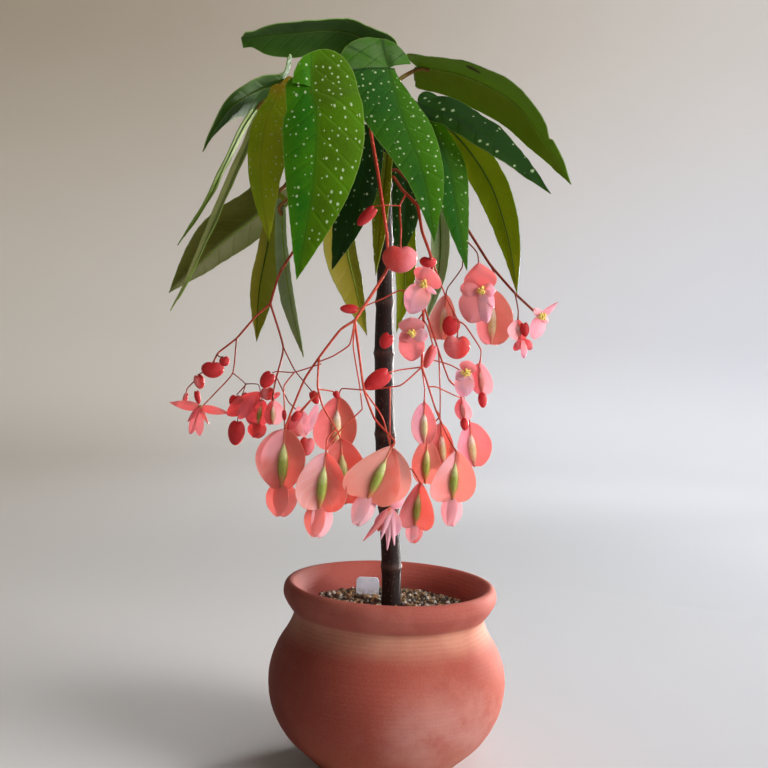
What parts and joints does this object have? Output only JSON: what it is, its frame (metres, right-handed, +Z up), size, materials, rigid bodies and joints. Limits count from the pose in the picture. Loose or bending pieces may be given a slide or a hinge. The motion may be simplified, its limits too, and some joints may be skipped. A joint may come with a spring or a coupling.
{
  "type": "potted cane begonia",
  "caption": "Cane begonia in a rounded terracotta pot: a leaning cane with long drooping leaves and hanging clusters of coral winged flowers, with a small plant label.",
  "frame": {"origin": "centre of the pot's flat foot, on the surface it stands on", "axes": "+Z up; the side with the front leaves and the lowest flower cluster faces -Y; the large dark leaf on the right points to +X"},
  "size_m": [0.2275, 0.134, 0.4066],
  "materials": {
    "terracotta": "matte fired clay",
    "mix": "rough bark and peat mix",
    "label": "satin",
    "cane": "smooth dark skin with ring nodes",
    "shoot": "smooth green skin",
    "leaf_front": "waxy green upper side with pale spots",
    "leaf_under": "satin olive underside with raised veins",
    "stalk": "smooth fleshy stalk",
    "flower_coral": "waxy coral wings",
    "petal_pink": "soft crystalline petal"
  },
  "bodies": {
    "root": {"pot": "terracotta", "potting_mix": "mix", "plant_label": "label", "cane": "cane", "side_shoot": "shoot", "leaf_01": "leaf_front", "leaf_02": "leaf_front", "leaf_03": "leaf_under", "leaf_04": "leaf_under", "leaf_05": "leaf_under", "leaf_06": "leaf_under", "leaf_07": "leaf_front", "leaf_08": "leaf_front", "leaf_09": "leaf_under", "leaf_10": "leaf_under", "leaf_11": "leaf_under", "leaf_12": "leaf_under", "leaf_13": "leaf_under", "leaf_14": "leaf_under", "leaf_15": "leaf_front", "leaf_16": "leaf_front", "leaf_17": "leaf_under", "leaf_18": "leaf_under", "leaf_19": "leaf_under", "leaf_20": "leaf_under", "stalk_centre": "stalk", "stalk_upper": "stalk", "stalk_right": "stalk", "stalk_left": "stalk", "flower_01": "flower_coral", "flower_02": "flower_coral", "flower_03": "flower_coral", "flower_04": "flower_coral", "flower_05": "flower_coral", "flower_06": "flower_coral", "flower_07": "flower_coral", "flower_08": "flower_coral", "flower_09": "flower_coral", "flower_10": "flower_coral", "flower_11": "flower_coral", "flower_12": "flower_coral", "flower_13": "flower_coral", "flower_14": "flower_coral", "flower_15": "flower_coral", "bud_01": "flower_coral", "bud_02": "flower_coral", "bud_03": "flower_coral", "bud_04": "flower_coral", "bud_05": "flower_coral", "bud_06": "flower_coral", "bud_07": "flower_coral", "bud_08": "flower_coral", "open_01": "petal_pink", "open_02": "petal_pink", "open_03": "petal_pink", "open_04": "petal_pink", "open_05": "petal_pink", "open_06": "petal_pink", "open_07": "petal_pink"}
  },
  "joints": []
}
